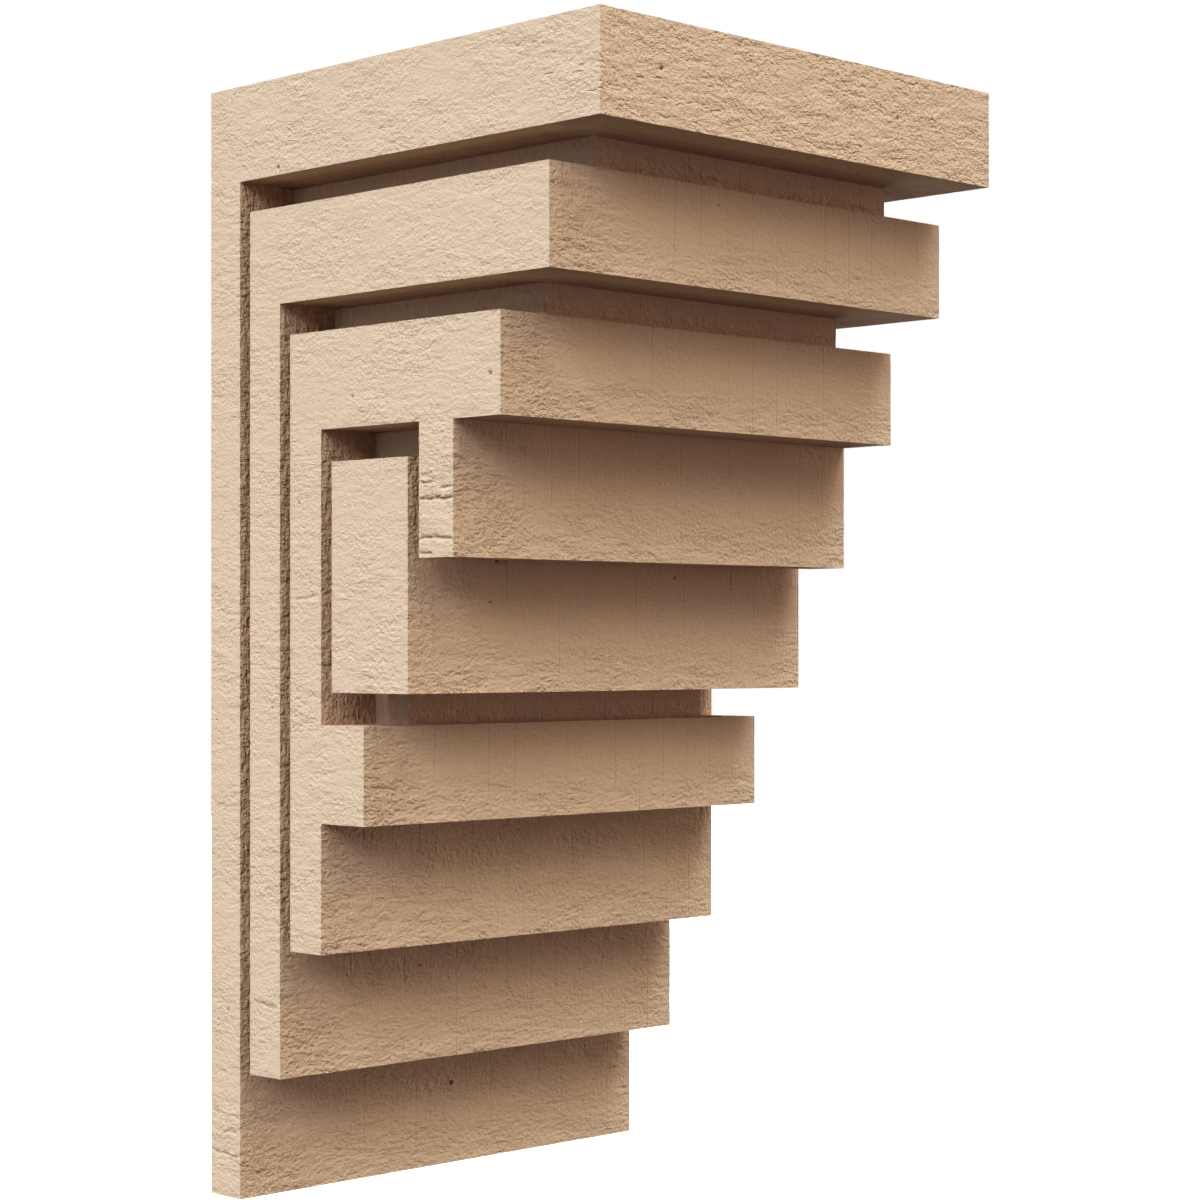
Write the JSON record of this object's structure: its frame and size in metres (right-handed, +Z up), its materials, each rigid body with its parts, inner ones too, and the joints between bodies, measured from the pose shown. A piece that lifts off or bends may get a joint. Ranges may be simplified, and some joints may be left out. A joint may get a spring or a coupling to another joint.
{
  "type": "urethane corbel",
  "caption": "Square-cut stepped bracket with a rough-sawn timber look: nested right-angled brackets around a hanging block, level top, flat back for a wall.",
  "frame": {"origin": "middle of the flat back face that goes against the wall", "axes": "+Z up, +Y into the wall, +X across the width, so the stepped front faces -Y"},
  "size_m": [0.1524, 0.1524, 0.3048],
  "materials": {
    "cast_urethane": "matte primed tan, cast with a rough-sawn timber texture of torn grain, small pits and faint saw lines"
  },
  "bodies": {
    "root": {"corbel": "cast_urethane"}
  },
  "joints": []
}
